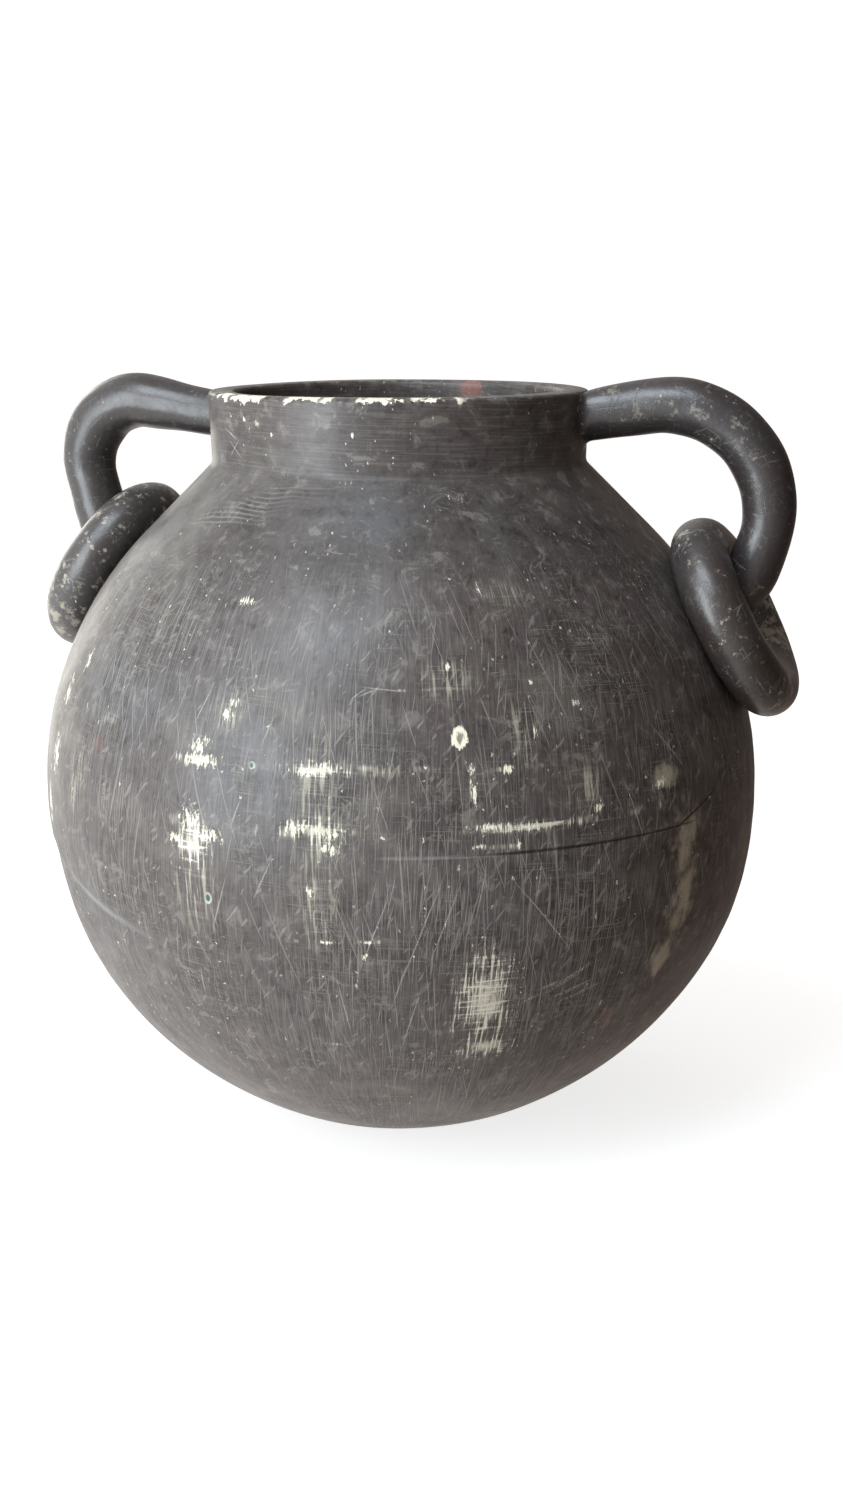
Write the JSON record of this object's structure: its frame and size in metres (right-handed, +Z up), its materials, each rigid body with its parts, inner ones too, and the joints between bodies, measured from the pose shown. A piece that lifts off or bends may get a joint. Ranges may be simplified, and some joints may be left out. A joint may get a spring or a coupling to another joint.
{
  "type": "round clay pot with loose ring handles",
  "caption": "Round burnished black clay pot with a flat base, short straight neck, looped coil handles and a loose clay ring hanging on each handle.",
  "frame": {"origin": "centre of the flat base, on the surface that the pot stands on", "axes": "+Z up through the mouth, +X towards the right handle, -Y towards the front"},
  "size_m": [0.3288, 0.3, 0.3111],
  "materials": {
    "burnished_clay": "burnished satin charcoal, scratched",
    "handle_clay": "smooth satin",
    "ring_clay": "smooth satin, worn at the edges",
    "luting_clay": "smoothed satin"
  },
  "bodies": {
    "pot": {"lower_bowl": "burnished_clay", "upper_shell": "burnished_clay", "neck_collar": "burnished_clay", "neck_coil": "luting_clay", "right_handle": "handle_clay", "left_handle": "handle_clay", "right_root_coil": "luting_clay", "left_root_coil": "luting_clay", "right_foot_coil": "luting_clay", "left_foot_coil": "luting_clay"},
    "right_ring": {"right_ring": "ring_clay"},
    "left_ring": {"left_ring": "ring_clay"}
  },
  "joints": [
    {"name": "right_ring_lift", "type": "hinge", "parent": "pot", "child": "right_ring", "pos_m": [0.12611, 0, 0.24343], "axis": [0, -1, 0], "range_deg": [0, 110]},
    {"name": "left_ring_lift", "type": "hinge", "parent": "pot", "child": "left_ring", "pos_m": [-0.11765, 0.0134, 0.25198], "axis": [0.1132, 0.9936, 0], "range_deg": [0, 88]}
  ]
}
